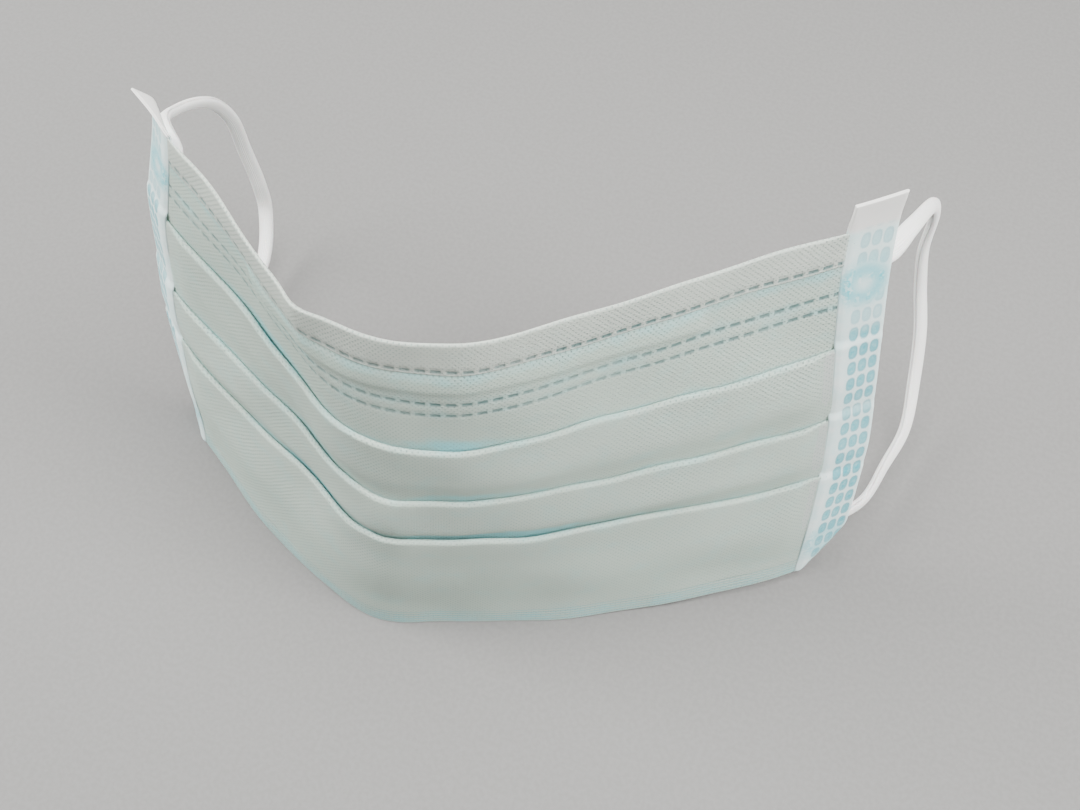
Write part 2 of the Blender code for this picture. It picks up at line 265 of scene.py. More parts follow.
def foot(s):
    """Point of the sheet's lower edge at s."""
    lift = CORNER_LIFT * np.clip((s - LIFT_START) / (HALF - LIFT_START), 0, 2) ** 2
    plan = np.stack((np.interp(s, HEM_S, HEM_X), np.interp(s, HEM_S, HEM_Y), lift), -1)
    return plan - outward(np.zeros(1))[0] * HEM_BACK / 2


def slide(s, t):
    """How far the settled sheet has slid along the hem, outwards at both ends."""
    right = smooth((s - SLIDE_RIGHT_START) / (HALF - SLIDE_RIGHT_START))
    left = smooth((-s - SLIDE_LEFT_START) / (HALF - SLIDE_LEFT_START))
    left = left * np.exp(-((t - SLIDE_LEFT_DEPTH) / SLIDE_LEFT_REACH) ** 2)
    drift = DRIFT_LEFT * smooth((-s - DRIFT_START) / DRIFT_REACH)
    drift = drift * (DRIFT_AT_TOP + (1 - DRIFT_AT_TOP) * smooth(t / DRIFT_DEPTH))
    return SLIDE_RIGHT * right * smooth(t / SLIDE_RIGHT_DEPTH) - SLIDE_LEFT * left - drift


def hills(s, t, table):
    """Sum of soft hills and hollows in the sheet, from rows in millimetres."""
    total = np.zeros_like(s)
    for row in table:
        middle_s, middle_t, reach_s, reach_t, forward = (value * MM for value in row)
        away = ((s - middle_s) / reach_s) ** 2 + ((t - middle_t) / reach_t) ** 2
        total = total + forward * np.exp(-away)
    return total


def ripples(s, t):
    """Slight waviness of the soft cloth."""
    small = np.sin(s / (4.3 * MM) + 1.3 * np.sin(t / (9 * MM))) * np.sin(t / (6.3 * MM) + s / (17 * MM))
    broad = np.sin(s / (9.7 * MM) + t / (21 * MM)) * np.sin(t / (12.5 * MM) - s / (31 * MM) + 0.8)
    return RIPPLE_SMALL * small + RIPPLE_BROAD * broad


def turned(along, n, radius, most):
    """Rolls what lies beyond a line backwards: along is how far beyond the line it is."""
    beyond = np.clip(along, 0, None)
    angle = np.minimum(beyond / radius, most)
    straight = beyond - angle * radius
    ahead = radius * np.sin(angle) + straight * np.cos(angle) + n * np.sin(angle)
    back = radius * (1 - np.cos(angle)) + straight * np.sin(angle)
    return np.where(along > 0, ahead, along), n * np.cos(angle) - back


def place(s, t, n):
    """Points of the soft sheet in the row frame."""
    s, t, n = (np.array(a, float) for a in np.broadcast_arrays(s, t, n))
    for line_s, line_t, way_s, way_t, radius, most in CORNERS:
        along = (s - line_s) * way_s + (t - line_t) * way_t
        rolled, n = turned(along, n, radius, most)
        s, t = s + (rolled - along) * way_s, t + (rolled - along) * way_t
    rolled, n = turned(-s - END_CURL_START, n, END_CURL_RADIUS, END_CURL_MOST)
    s = -(END_CURL_START + rolled)
    at = s + slide(s, t)
    n = n + hills(s, t, BOWS) + hills(s, t, KINKS) + ripples(s, t)
    return foot(at) + rise(at) * (HEIGHT - t)[..., None] + outward(at) * n[..., None]


def point(s, t, n):
    return Vector(place(s, t, n).reshape(3))


def outer_share(s):
    """0 in the middle and 1 at the ends, without a corner in between."""
    return soft_size(s, HALF, SOFT_MIDDLE)


def creases(s):
    """Depth of the three creases below the top edge at s."""
    share = outer_share(s)
    found = []
    for k in range(3):
        end = np.where(s > 0, CREASES["right"][k], CREASES["left"][k])
        wander = np.sin(s / (6.1 * MM) + 2.1 * k) + 0.6 * np.sin(s / (2.7 * MM) + k)
        found.append(CREASES["middle"][k] * (1 - share) + end * share + CREASE_WANDER * wander)
    return found


def dash_row(s, row):
    """Depth of a row of fused dashes at s."""
    middle, left, right = DASH_ROWS[row]
    share = outer_share(s)
    return middle * (1 - share) + np.where(s > 0, right, left) * share


def pocket(s, k):
    """How wide pleat k gapes at s."""
    gape = np.zeros_like(s)
    for pleat, middle, reach, opening in POCKETS:
        if pleat == k:
            gape = gape + POCKET_GAPE * opening * MM * np.exp(-((s - middle * MM) / (reach * MM)) ** 2)
    return gape * smooth(np.abs(s - FOLD_S) / FOLD_CLOSE + 0.25)


def pocket_shade(s, t):
    """Painted cyan shade and glow just above the creases where the pleats gape."""
    tone = np.zeros_like(t)
    marks = creases(s)
    for pleat, middle, reach, opening in POCKETS:
        half = POCKET_HALF * (0.5 + opening / 2)
        away = (t - marks[pleat] + POCKET_ABOVE) / half
        along = (s - middle * MM) / (reach * MM)
        tone = np.maximum(tone, min(1, opening) * np.exp(-away * away - along * along))
    return POCKET_SHADE * tone


def pack(s):
    """Share of its thickness that the laminate keeps at s."""
    beyond = np.abs(s) - HALF + TAPE_WIDTH
    return (1 - (1 - PACKED) * smooth((beyond + PACK_REACH) / PACK_REACH)
            - PACKED_MORE * smooth(beyond / TAPE_WIDTH))


# ---- the laminate's folded section
def dash_columns():
    """Places along the hem of the sheet's columns, four to each dash."""
    count = int(HALF / DASH_PITCH)
    half = DASH_LENGTH / 2
    marks = [k * DASH_PITCH + d for k in range(-count, count + 1)
             for d in (-half - DASH_EDGE, -half + DASH_EDGE, half - DASH_EDGE, half + DASH_EDGE)]
    inside = [s for s in marks if abs(s) < HALF - DASH_EDGE]
    return np.array([-HALF] + inside + [HALF])


def between(first, last, count):
    """Rows from first up to but not including last."""
    return [first + (last - first) * k / count for k in range(count)]


class Section:
    """The folded middle line of the laminate over all columns, from the top edge down."""

    def __init__(self, s):
        self.s = s
        self.t, self.n, self.shade_and_tint = [], [], []

    # the third value is the painted shade and glow of the folds at that row
    def row(self, t, n, shade_and_tint=0.0):
        self.t.append(t + 0 * self.s)
        self.n.append(n + 0 * self.s)
        self.shade_and_tint.append(shade_and_tint + 0 * self.s)

    def arrays(self):
        return np.array(self.t), np.array(self.n), np.array(self.shade_and_tint)


def upper_marks(s):
    """Rows of the top panel, close together where dashes are fused."""
    rows = []
    at = 0 * s
    for row in range(len(DASH_ROWS)):
        middle = dash_row(s, row)
        start = middle - DASH_HALF - DASH_EDGE
        rows += between(at, start, ROWS_ABOVE_DASHES[row])
        rows += [start, middle - DASH_HALF + DASH_EDGE, middle + DASH_HALF - DASH_EDGE]
        at = middle + DASH_HALF + DASH_EDGE
    return rows, at


def middle_line(s):
    """Middle line of the laminate through its three knife pleats."""
    line = Section(s)
    marks = creases(s)
    rows, last = upper_marks(s)
    for t in rows:
        line.row(t, 0)
    start = last
    proud = last_gape = 0 * s
    for k in range(len(marks)):
        crease, gape = marks[k], pocket(s, k)
        foot_t = crease + PLEAT_DEPTH
        hold = marks[k - 1] + PLEAT_DEPTH + FOLD_R if k else start
        recess_top = crease - POCKET_REACH
        # the last value of each row is painted shade and glow, coming in towards the crease and full
        # inside the folds
        for t in between(start, crease, ROWS_IN_PANEL) + between(crease, foot_t, ROWS_IN_FOLD):
            ease = proud * (1 - smooth((t - hold) / (crease + MM - hold)))
            lift = last_gape * (1 - smooth((t - start) / PLEAT_DEPTH))
            hollow = smooth((t - recess_top) / POCKET_REACH) * (1 - smooth((t - crease) / PLEAT_DEPTH))
            line.row(t, ease + lift - GAPE_BACK * gape * hollow,
                     smooth((t - crease) / FOLD_SHADE_REACH + 0.5))
        for turn in FOLD_TURNS:
            line.row(foot_t + FOLD_R * math.cos(turn), FOLD_R * (1 + math.sin(turn)), 1.0)
        for share in FOLD_SHARES:
            lift = GAPE_FORWARD * gape * (1 - share) ** 1.5
            line.row(crease + PLEAT_DEPTH * share, 2 * FOLD_R + lift, 1.0)
        for turn in FOLD_TURNS:
            line.row(crease - FOLD_R * math.cos(turn),
                     FOLD_R * (3 + math.sin(turn)) + GAPE_FORWARD * gape, 0.25 - 0.2 * math.sin(turn))
        start = crease + 0.25 * MM
        proud = 4 * FOLD_R + 0 * s
        last_gape = GAPE_FORWARD * gape
    hold = marks[-1] + PLEAT_DEPTH + FOLD_R
    top = HEIGHT - BOTTOM_HEM - 0.6 * MM
    for t in between(start, top, ROWS_IN_PANEL) + between(top, LOWEST, ROWS_IN_HEM) + [LOWEST]:
        ease = proud * (1 - smooth((t - hold) / (HEIGHT - SETTLED_ABOVE - hold)))
        lift = last_gape * (1 - smooth((t - start) / PLEAT_DEPTH))
        line.row(t, ease + lift)
    return line.arrays()


def normals(t, n):
    """Front normal of the line at each row, in the plane of t and n."""
    dt, dn = np.gradient(t, axis=0), np.gradient(n, axis=0)
    size = np.hypot(dt, dn) + 1e-12
    return -dn / size, dt / size


def shifted(t, n, offset):
    """The line moved along its own normal."""
    normal_t, normal_n = normals(t, n)
    return t + normal_t * offset, n + normal_n * offset


def dashes(s, t):
    """1 on a fused dash, 0 off it."""
    phase = np.abs((s / DASH_PITCH + 0.5) % 1 - 0.5) * DASH_PITCH
    along = np.clip((DASH_LENGTH / 2 + DASH_EDGE - phase) / (2 * DASH_EDGE), 0, 1)
    mask = np.zeros_like(t)
    for row in range(len(DASH_ROWS)):
        away = np.abs(t - dash_row(s, row))
        mask = np.maximum(mask, np.clip((DASH_HALF + DASH_EDGE - away) / (2 * DASH_EDGE), 0, 1))
    inside = np.abs(s) < HALF - TAPE_WIDTH * 0.6
    return mask * along * inside


def welt(s, t):
    """Raised band over the nose wire."""
    away = np.abs(t - WIRE_DEPTH) - WIRE_WIDTH / 2
    end = smooth((WIRE_LENGTH / 2 + MM - np.abs(s)) / (2 * MM))
    return WELT_HEIGHT * smooth(1 - away / WELT_SLOPE) * end


def grooves(t):
    """1 in the fine welded lines along the bottom hem."""
    mask = np.zeros_like(t)
    for middle in GROOVES:
        mask = np.maximum(mask, smooth(1 - np.abs(t - middle) / GROOVE_HALF))
    return mask


# ---- mesh making
def add_mesh(name, vertices, faces, finish, tones=None, flat=None, rounded=None):
    """Object from quads. Only the first faces, as many as rounded says, are shaded smooth."""
    mesh = bpy.data.meshes.new(name)
    mesh.vertices.add(len(vertices))
    mesh.vertices.foreach_set("co", np.asarray(vertices, np.float32).ravel())
    faces = np.asarray(faces, np.int32)
    mesh.loops.add(faces.size)
    mesh.loops.foreach_set("vertex_index", faces.ravel())
    mesh.polygons.add(len(faces))
    mesh.polygons.foreach_set("loop_start", np.arange(0, faces.size, 4, dtype=np.int32))
    mesh.update(calc_edges=True)
    mesh.validate()
    for label, values in (tones or {}).items():
        made = mesh.attributes.new(label, "FLOAT", "POINT")
        made.data.foreach_set("value", np.asarray(values, np.float32).ravel())
    if flat is not None:
        made = mesh.attributes.new("flat", "FLOAT_VECTOR", "POINT")
        made.data.foreach_set("vector", np.asarray(flat, np.float32).ravel())
    smooth_faces = np.arange(len(mesh.polygons)) < (len(faces) if rounded is None else rounded)
    mesh.polygons.foreach_set("use_smooth", smooth_faces)
    mesh.materials.append(finish)
    made = bpy.data.objects.new(name, mesh)
    bpy.context.scene.collection.objects.link(made)
    return made


def grid_faces(rows, columns, first, flip=False):
    """Quads over a grid of vertices, facing the front side unless flipped."""
    i, j = np.meshgrid(np.arange(rows - 1), np.arange(columns - 1), indexing="ij")
    a = first + i * columns + j
    quad = np.stack((a, a + columns, a + columns + 1, a + 1), -1).reshape(-1, 4)
    return quad[:, ::-1] if flip else quad


def tube_faces(rings, around):
    """Quads of a closed tube of rings, with its two end caps."""
    i, j = np.meshgrid(np.arange(rings - 1), np.arange(around), indexing="ij")
    a, b = i * around + j, i * around + (j + 1) % around
    faces = [np.stack((a, b, b + around, a + around), -1).reshape(-1, 4)]
    for first, flip in ((0, True), ((rings - 1) * around, False)):
        cap = np.array([(first + k, first + k + 1, first + around - 2 - k, first + around - 1 - k)
                        for k in range(around // 2 - 1)])
        faces.append(cap[:, ::-1] if flip else cap)
    return np.concatenate(faces)


def squared(wave, power):
    """A sine or cosine raised to a power with its sign kept, for outlines between round and square."""
    return np.sign(wave) * np.abs(wave) ** power


def slab(name, front, back, finish, tones, flat):
    """Closed thin body between a front grid and a back grid of points."""
    rows, columns = front.shape[:2]
    count = rows * columns
    index = np.arange(count).reshape(rows, columns)
    faces = [grid_faces(rows, columns, 0), grid_faces(rows, columns, count, flip=True)]
    for edge in (index[0], index[-1][::-1], index[::-1, 0], index[:, -1]):
        a, b = edge[:-1], edge[1:]
        faces.append(np.stack((a, b, b + count, a + count), -1))
    both = {label: np.stack((values, values)) for label, values in tones.items()}
    return add_mesh(name, np.stack((front, back)).reshape(-1, 3), np.concatenate(faces), finish,
                    both, np.stack((flat, flat)), len(faces[0]) + len(faces[1]))


def unfolded(t, n):
    """Length along the line from its first row."""
    steps = np.hypot(np.diff(t, axis=0), np.diff(n, axis=0))
    return np.concatenate((np.zeros((1, t.shape[1])), np.cumsum(steps, axis=0)))


def ply(name, s, t, n, half, fused, shade_and_tint, finish):
    """One ply along its own line: depth t, height n, fused dashes, and the cooler tint with painted
    shade and glow at each point.
    """
    squeeze = pack(s)[None, :]
    thick = half * (1 - 0.6 * fused)
    front_t, front_n = shifted(t, n, thick)
    back_t, back_n = shifted(t, n, -thick)
    grid_s = np.broadcast_to(s, t.shape)
    front = place(grid_s, front_t, MID_N + front_n * squeeze)
    back = place(grid_s, back_t, MID_N + back_n * squeeze)
    flat = np.stack((grid_s, unfolded(t, n), t), -1)
    return slab(name, front, back, finish, {"fused": fused, "shade_and_tint": shade_and_tint}, flat)


# ---- material making
def node(tree, kind, inputs=None, **settings):
    """New shader node, its inputs linked to sockets or set to values."""
    made = tree.nodes.new(kind)
    for key, value in settings.items():
        setattr(made, key, value)
    for key, value in (inputs or {}).items():
        if isinstance(value, bpy.types.NodeSocket):
            tree.links.new(value, made.inputs[key])
        else:
            made.inputs[key].default_value = value
    return made


def maths(tree, operation, a, b=0.0, c=0.0):
    return node(tree, "ShaderNodeMath", {0: a, 1: b, 2: c}, operation=operation).outputs[0]


def times(tree, a, b):
    return maths(tree, "MULTIPLY", a, b)


def mapped(tree, value, low, high, out_low=0.0, out_high=1.0):
    return node(tree, "ShaderNodeMapRange",
                {"Value": value, "From Min": low, "From Max": high, "To Min": out_low,
                 "To Max": out_high}, interpolation_type="SMOOTHSTEP").outputs[0]


def mixed(tree, factor, a, b):
    made = node(tree, "ShaderNodeMix", {0: factor, 6: a, 7: b}, data_type="RGBA")
    return made.outputs[2]


def scaled(tree, vector, factors):
    return node(tree, "ShaderNodeVectorMath", {0: vector, 1: factors},
                operation="MULTIPLY").outputs[0]


def noise(tree, vector, scale, detail=2.0, roughness=0.5):
    return node(tree, "ShaderNodeTexNoise",
                {"Vector": vector, "Scale": scale, "Detail": detail,
                 "Roughness": roughness}).outputs["Fac"]


def value_of(tree, name):
    return node(tree, "ShaderNodeAttribute", attribute_name=name).outputs["Fac"]


def flat_of(tree):
    """Position on the piece's flat pattern, whole and as its first two parts."""
    vector = node(tree, "ShaderNodeAttribute", attribute_name="flat").outputs["Vector"]
    parts = node(tree, "ShaderNodeSeparateXYZ", {0: vector})
    return vector, parts.outputs[0], parts.outputs[1]


def rgb(red, green, blue):
    return (red, green, blue, 1)


def material(name):
    made = bpy.data.materials.new(name)
    made.use_nodes = True
    made.node_tree.nodes.clear()
    return made, made.node_tree


def finished(tree, colour, rough, height, distance, constants=None, see_through=0.0):
    """Puts a Principled surface with a bump on the material, part of it translucent."""
    bump = node(tree, "ShaderNodeBump", {"Height": height, "Distance": distance, "Strength": 1.0})
    shader = node(tree, "ShaderNodeBsdfPrincipled",
                  {"Base Color": colour, "Roughness": rough, "Normal": bump.outputs[0]})
    for key, value in (constants or {}).items():
        shader.inputs[key].default_value = value
    surface = shader.outputs[0]
    if see_through:
        behind = node(tree, "ShaderNodeBsdfTranslucent", {"Color": colour})
        surface = node(tree, "ShaderNodeMixShader",
                       {0: see_through, 1: surface, 2: behind.outputs[0]}).outputs[0]
    node(tree, "ShaderNodeOutputMaterial", {"Surface": surface})


BOND_PITCH = 1.15 * MM
BOND_BUMP = 0.38 * MM
BOND_TINT = (0.42, 0.58, 0.56, 1)
THREAD_TINT = (0.93, 0.96, 0.95, 1)
DASH_TINT = (0.30, 0.46, 0.45, 1)
TAPE_BASES = ((0.66, 0.85, 0.85, 1), (0.80, 0.90, 0.89, 1))
TAPE_THREAD = (0.92, 0.95, 0.94, 1)
TAPE_INKS = ((0.04, 0.40, 0.48, 1), (0.12, 0.50, 0.57, 1))
TAPE_RIM = (0.12, 0.34, 0.42, 1)
ROSETTE_TINT = (0.10, 0.56, 0.64, 1)
TAIL_TINT = (0.80, 0.79, 0.77, 1)
STITCH_PITCH = 0.7 * MM
KNIT_RIBS = 34.0
FIBRE_SCALES = ((900.0, 5200.0, 900.0), (4600.0, 1100.0, 900.0))


def point_bonds(tree, s, t):
    """1 on the little diamond-set bonds that hold a spunbond web together."""
    waves = []
    for operation in ("ADD", "SUBTRACT"):
        across = maths(tree, operation, s, t)
        waves.append(maths(tree, "COSINE", times(tree, across, math.tau / BOND_PITCH)))
    return mapped(tree, maths(tree, "ADD", *waves), 0.9, 1.8)


def fibres(tree, vector):
    """Fine crossing threads."""
    first, second = (noise(tree, scaled(tree, vector, way), 1.0, 3.0, 0.6) for way in FIBRE_SCALES)
    return maths(tree, "MAXIMUM", first, second)


def nonwoven(name, pale, cool_tint_and_glow, see_through):
    """Spunbond ply: bonds, threads, clouds, and painted shade and glow that turn the colour cooler in
    the folds.
    """
    made, tree = material(name)
    vector, s, t = flat_of(tree)
    bonds, threads = point_bonds(tree, s, t), fibres(tree, vector)
    clouds = noise(tree, vector, 160.0, 4.0, 0.6)
    patches = noise(tree, vector, 45.0, 2.0, 0.5)
    strength = mapped(tree, patches, 0.3, 0.7, 0.45, 1.0)
    bonds = times(tree, bonds, strength)
    # random cloudy mottling plus the attribute's painted fold and pocket shade and glow and its real
    # groove and hem tint
    mottle_and_shade = maths(tree, "ADD", value_of(tree, "shade_and_tint"), mapped(tree, clouds, 0.3, 0.75, -0.10, 0.26))
    colour = mixed(tree, mapped(tree, mottle_and_shade, 0.0, 1.0), pale, cool_tint_and_glow)
    colour = mixed(tree, times(tree, bonds, 0.60), colour, BOND_TINT)
    colour = mixed(tree, mapped(tree, threads, 0.45, 0.75, 0.0, 0.22), colour, THREAD_TINT)
    faint = mapped(tree, patches, 0.35, 0.65, 0.55, 1.0)
    fused = value_of(tree, "fused")
    colour = mixed(tree, times(tree, fused, faint), colour, DASH_TINT)
    rough = mapped(tree, threads, 0.3, 0.8, 0.78, 0.58)
    rough = maths(tree, "SUBTRACT", rough, times(tree, fused, 0.25))
    height = maths(tree, "SUBTRACT", times(tree, threads, 0.55), bonds)
    finished(tree, colour, rough, height, BOND_BUMP, {"Sheen Weight": 0.10}, see_through)
    return made


def oval_size(tree, along, start, pitch, length):
    """Distance from the middle of the nearest oval along one direction, 1 at its rim."""
    cell = maths(tree, "DIVIDE", maths(tree, "SUBTRACT", along, start), pitch)
    off = maths(tree, "SUBTRACT", maths(tree, "FRACT", cell), 0.5)
    size = times(tree, maths(tree, "ABSOLUTE", off), 2 * pitch / length)
    return maths(tree, "POWER", size, OVAL_POWER)


def fused_ovals(tree, across, t, wobble):
    """How far out from the middle of an oval: 1 on its rim, large between the columns."""
    u = oval_size(tree, across, DOT_MARGIN, DOT_PITCH_S, DOT_WIDTH)
    v = oval_size(tree, t, 0.0, DOT_PITCH_T, DOT_HEIGHT)
    away = maths(tree, "POWER", maths(tree, "ADD", u, v), 1 / OVAL_POWER)
    end = DOT_MARGIN + DOT_COLUMNS * DOT_PITCH_S
    outside = maths(tree, "ADD", maths(tree, "LESS_THAN", across, DOT_MARGIN),
                    maths(tree, "GREATER_THAN", across, end))
    return maths(tree, "ADD", maths(tree, "ADD", away, outside), wobble)


def tape_finish(name):
    """Binding tape: translucent nonwoven with three columns of fused ovals."""
    made, tree = material(name)
    vector, across, t = flat_of(tree)
    threads = fibres(tree, vector)
    clouds = noise(tree, vector, 220.0, 3.0, 0.6)
    group = noise(tree, scaled(tree, vector, (60.0, 90.0, 1.0)), 1.0, 1.0, 0.5)
    base = mixed(tree, mapped(tree, clouds, 0.35, 0.7), *TAPE_BASES)
    ring = value_of(tree, "rosette")
    blots = noise(tree, vector, 620.0, 3.0, 0.75)
    base = mixed(tree, times(tree, ring, mapped(tree, blots, 0.40, 0.54, 0.28, 1.0)),
                 base, ROSETTE_TINT)
    base = mixed(tree, value_of(tree, "tail"), base, TAIL_TINT)
    ink = mixed(tree, mapped(tree, group, 0.35, 0.65), *TAPE_INKS)
    wobble = mapped(tree, noise(tree, vector, 1500.0, 2.0, 0.6), 0.3, 0.7, -0.12, 0.12)
    away = fused_ovals(tree, across, t, wobble)
    shape = mapped(tree, away, 0.90, 1.04, 1.0, 0.0)
    rim = times(tree, shape, mapped(tree, away, 0.55, 0.9, 0.0, 1.0))
    blotchy = mapped(tree, blots, 0.35, 0.65, 0.70, 1.0)
    strength = times(tree, times(tree, shape, blotchy),
                     value_of(tree, "ink"))
    colour = mixed(tree, strength, base, ink)
    colour = mixed(tree, times(tree, rim, times(tree, strength, 0.5)),
                   colour, TAPE_RIM)
    colour = mixed(tree, mapped(tree, threads, 0.5, 0.78, 0.0, 0.18), colour, TAPE_THREAD)
    rough = maths(tree, "SUBTRACT", mapped(tree, threads, 0.3, 0.8, 0.72, 0.55),
                  times(tree, shape, 0.22))
    height = times(tree, threads, 0.6)
    finished(tree, colour, rough, height, 0.05 * MM, {"Sheen Weight": 0.1}, 0.18)
    return made


def elastic_finish():
    """Soft knitted elastic: ribs along it and small stitches across."""
    made, tree = material("elastic_knit")
    vector, along, around = flat_of(tree)
    stitch = maths(tree, "SINE", times(tree, along, math.tau / STITCH_PITCH))
    rib = maths(tree, "COSINE", times(tree, around, KNIT_RIBS))
    knit = maths(tree, "ADD", times(tree, stitch, 0.35), rib)
    fuzz = noise(tree, scaled(tree, vector, (1500.0, 3.0, 1.0)), 1.0, 4.0, 0.65)
    slow = noise(tree, scaled(tree, vector, (60.0, 0.4, 1.0)), 1.0, 2.0, 0.5)
    colour = mixed(tree, mapped(tree, knit, -1.2, 0.2), rgb(0.84, 0.835, 0.815), rgb(0.91, 0.91, 0.90))
    colour = mixed(tree, mapped(tree, slow, 0.35, 0.7, 0.0, 0.12), colour, rgb(0.78, 0.77, 0.74))
    rough = mapped(tree, fuzz, 0.3, 0.7, 0.72, 0.88)
    height = maths(tree, "ADD", knit, times(tree, fuzz, 0.8))
    finished(tree, colour, rough, height, 0.035 * MM,
             {"Sheen Weight": 0.25, "Subsurface Weight": 0.1, "Subsurface Scale": 0.001})
    return made


def coating_finish():
    """Plastic-coated nose wire."""
    made, tree = material("wire_coating_look")
    vector = flat_of(tree)[0]
    streaks = noise(tree, scaled(tree, vector, (90.0, 2500.0, 1.0)), 1.0, 3.0, 0.5)
    colour = mixed(tree, streaks, rgb(0.80, 0.82, 0.82), rgb(0.90, 0.91, 0.91))
    rough = mapped(tree, streaks, 0.3, 0.7, 0.32, 0.5)
    finished(tree, colour, rough, streaks, 0.02 * MM)
    return made


def weld_finish():
    """Fused spot: pressed nonwoven with a waffle of points."""
    made, tree = material("fused_spot_look")
    vector = flat_of(tree)[0]
    clouds = noise(tree, vector, 500.0, 3.0, 0.6)
    colour = mixed(tree, mapped(tree, value_of(tree, "pressed"), 0.2, 0.8),
                   rgb(0.70, 0.80, 0.80), rgb(0.36, 0.60, 0.62))
    colour = mixed(tree, mapped(tree, clouds, 0.4, 0.7, 0.0, 0.35), colour, rgb(0.80, 0.86, 0.85))
    rough = mapped(tree, clouds, 0.3, 0.7, 0.35, 0.55)
    finished(tree, colour, rough, clouds, 0.04 * MM)
    return made


def floor_finish():
    """Plain pale grey with a little grain."""
    made, tree = material("pale_floor")
    place_of = node(tree, "ShaderNodeTexCoord").outputs["Object"]
    grain = noise(tree, place_of, 900.0, 2.0, 0.5)
    colour = mixed(tree, mapped(tree, grain, 0.3, 0.7, 0.0, 1.0), rgb(0.165, 0.163, 0.160),
                   rgb(0.185, 0.183, 0.180))
    finished(tree, colour, mapped(tree, grain, 0.3, 0.7, 0.85, 0.95), grain, 0.02 * MM)
    return made


# ---- camera
CAMERA_PLACE = (0.0533, -0.0746, 0.2742)
CAMERA_WAY = (-0.1749, 0.4376, -0.8820)
CAMERA_LENS = 40
CAMERA_SENSOR = 36
CAMERA_NEAR = 0.01


def add_camera():
    """Camera above the front, level from side to side."""
    forward = Vector(CAMERA_WAY).normalized()
    right = forward.cross(Vector((0, 0, 1))).normalized()
    up = right.cross(forward)
    data = bpy.data.cameras.new("camera")
    data.lens = CAMERA_LENS
    data.sensor_width = CAMERA_SENSOR
    data.clip_start = CAMERA_NEAR
    made = bpy.data.objects.new("camera", data)
    turn = Matrix((right, up, -forward)).transposed().to_4x4()
    made.matrix_world = Matrix.Translation(CAMERA_PLACE) @ turn
    bpy.context.scene.collection.objects.link(made)
    bpy.context.scene.camera = made


# ---- ear loops
LOOP_WIDTH = 3.6 * MM
LOOP_THICK = 2.1 * MM
LOOP_RING = 28
LOOP_RINGS = 240
LOOP_END = 7 * MM
LOOP_END_WIDTH = 4.0 * MM
LOOP_END_THICK = 0.8 * MM
LOOP_POWER = 2.6
FIRST_REACH = 32 * MM
LOOP_RIB = 0.008 * MM
LOOP_RIBS = 7
LOOP_WAVER = 0.05  # share by which the elastic's width varies
LOOP_WAVER_REACH = 11 * MM
CURVE_STEPS = 40


def through(points, count):
    """Evenly spaced points on a smooth curve through the given ones, and its length."""
    padded = [points[0] * 2 - points[1]] + points + [points[-1] * 2 - points[-2]]
    share = np.linspace(0, 1, CURVE_STEPS, endpoint=False)[:, None]
    fine = []
    for a, b, c, d in zip(padded, padded[1:], padded[2:], padded[3:]):
        fine.append(0.5 * (2 * b + (c - a) * share + (2 * a - 5 * b + 4 * c - d) * share ** 2
                           + (3 * b - a - 3 * c + d) * share ** 3))
    fine = np.concatenate(fine + [points[-1][None]])
    run = np.concatenate(([0], np.cumsum(np.linalg.norm(np.diff(fine, axis=0), axis=1))))
    goals = np.linspace(0, run[-1], count)
    return np.stack([np.interp(goals, run, fine[:, k]) for k in range(3)], 1), run[-1]


def loop_frame(tangent, along_hem, share, twist):
    """Wide and thin directions along the elastic: flat on the tape at both ends, twisted between."""
    wide = [along_hem - tangent[0] * (along_hem @ tangent[0])]
    for way in tangent[1:]:
        carried = wide[-1] - way * (wide[-1] @ way)
        wide.append(carried / np.linalg.norm(carried))
    wide = np.array(wide)
    wide[0] /= np.linalg.norm(wide[0])
    thin = np.cross(tangent, wide)
    goal = along_hem - tangent[-1] * (along_hem @ tangent[-1])
    missing = math.atan2(goal @ thin[-1], goal @ wide[-1])
    missing = (missing + math.pi / 2) % math.pi - math.pi / 2
    turn = missing * smooth(share) + twist * smooth(share / 0.4) * smooth((1 - share) / 0.4)
    turned_wide = wide * np.cos(turn) + thin * np.sin(turn)
    return turned_wide, np.cross(tangent, turned_wide)


